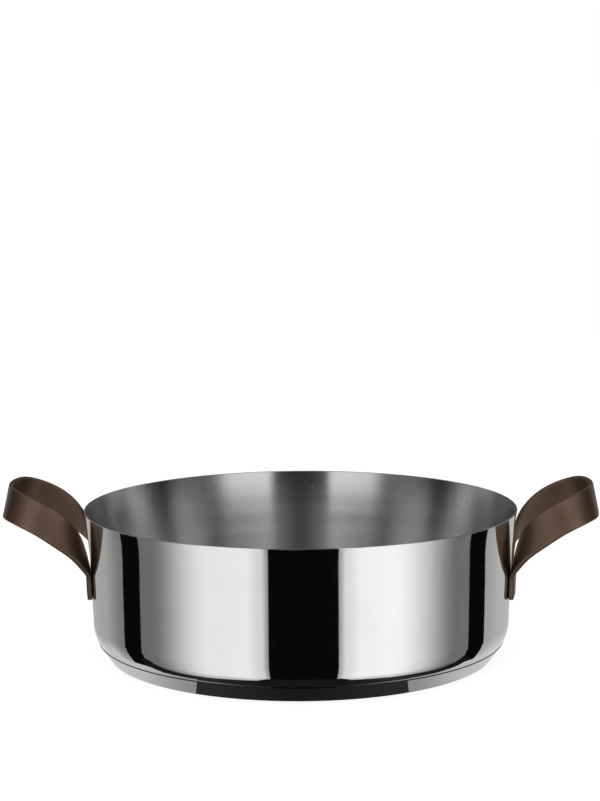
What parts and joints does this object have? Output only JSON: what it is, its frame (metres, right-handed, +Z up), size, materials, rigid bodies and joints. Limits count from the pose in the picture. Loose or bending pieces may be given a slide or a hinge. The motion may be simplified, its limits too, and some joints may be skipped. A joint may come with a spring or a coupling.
{
  "type": "braiser",
  "caption": "Low wide round stainless steel pan with a capped heat-spreading base and two bent steel strap loop handles, shown without a lid.",
  "frame": {"origin": "centre of the underside, on the surface the pan stands on", "axes": "+Z up out of the pan, X through both handles, Y across the pan"},
  "size_m": [0.3848, 0.2798, 0.112],
  "materials": {
    "polished_steel": "mirror-polished stainless steel outside, fine satin inside",
    "core_aluminium": "plain rolled aluminium, sealed inside the base",
    "base_steel": "magnetic stainless steel, polished side and spun underside",
    "handle_steel": "satin brown coated steel"
  },
  "bodies": {
    "root": {"pan_body": "polished_steel", "base_core": "core_aluminium", "base_cap": "base_steel", "handle_left": "handle_steel", "handle_right": "handle_steel"}
  },
  "joints": []
}
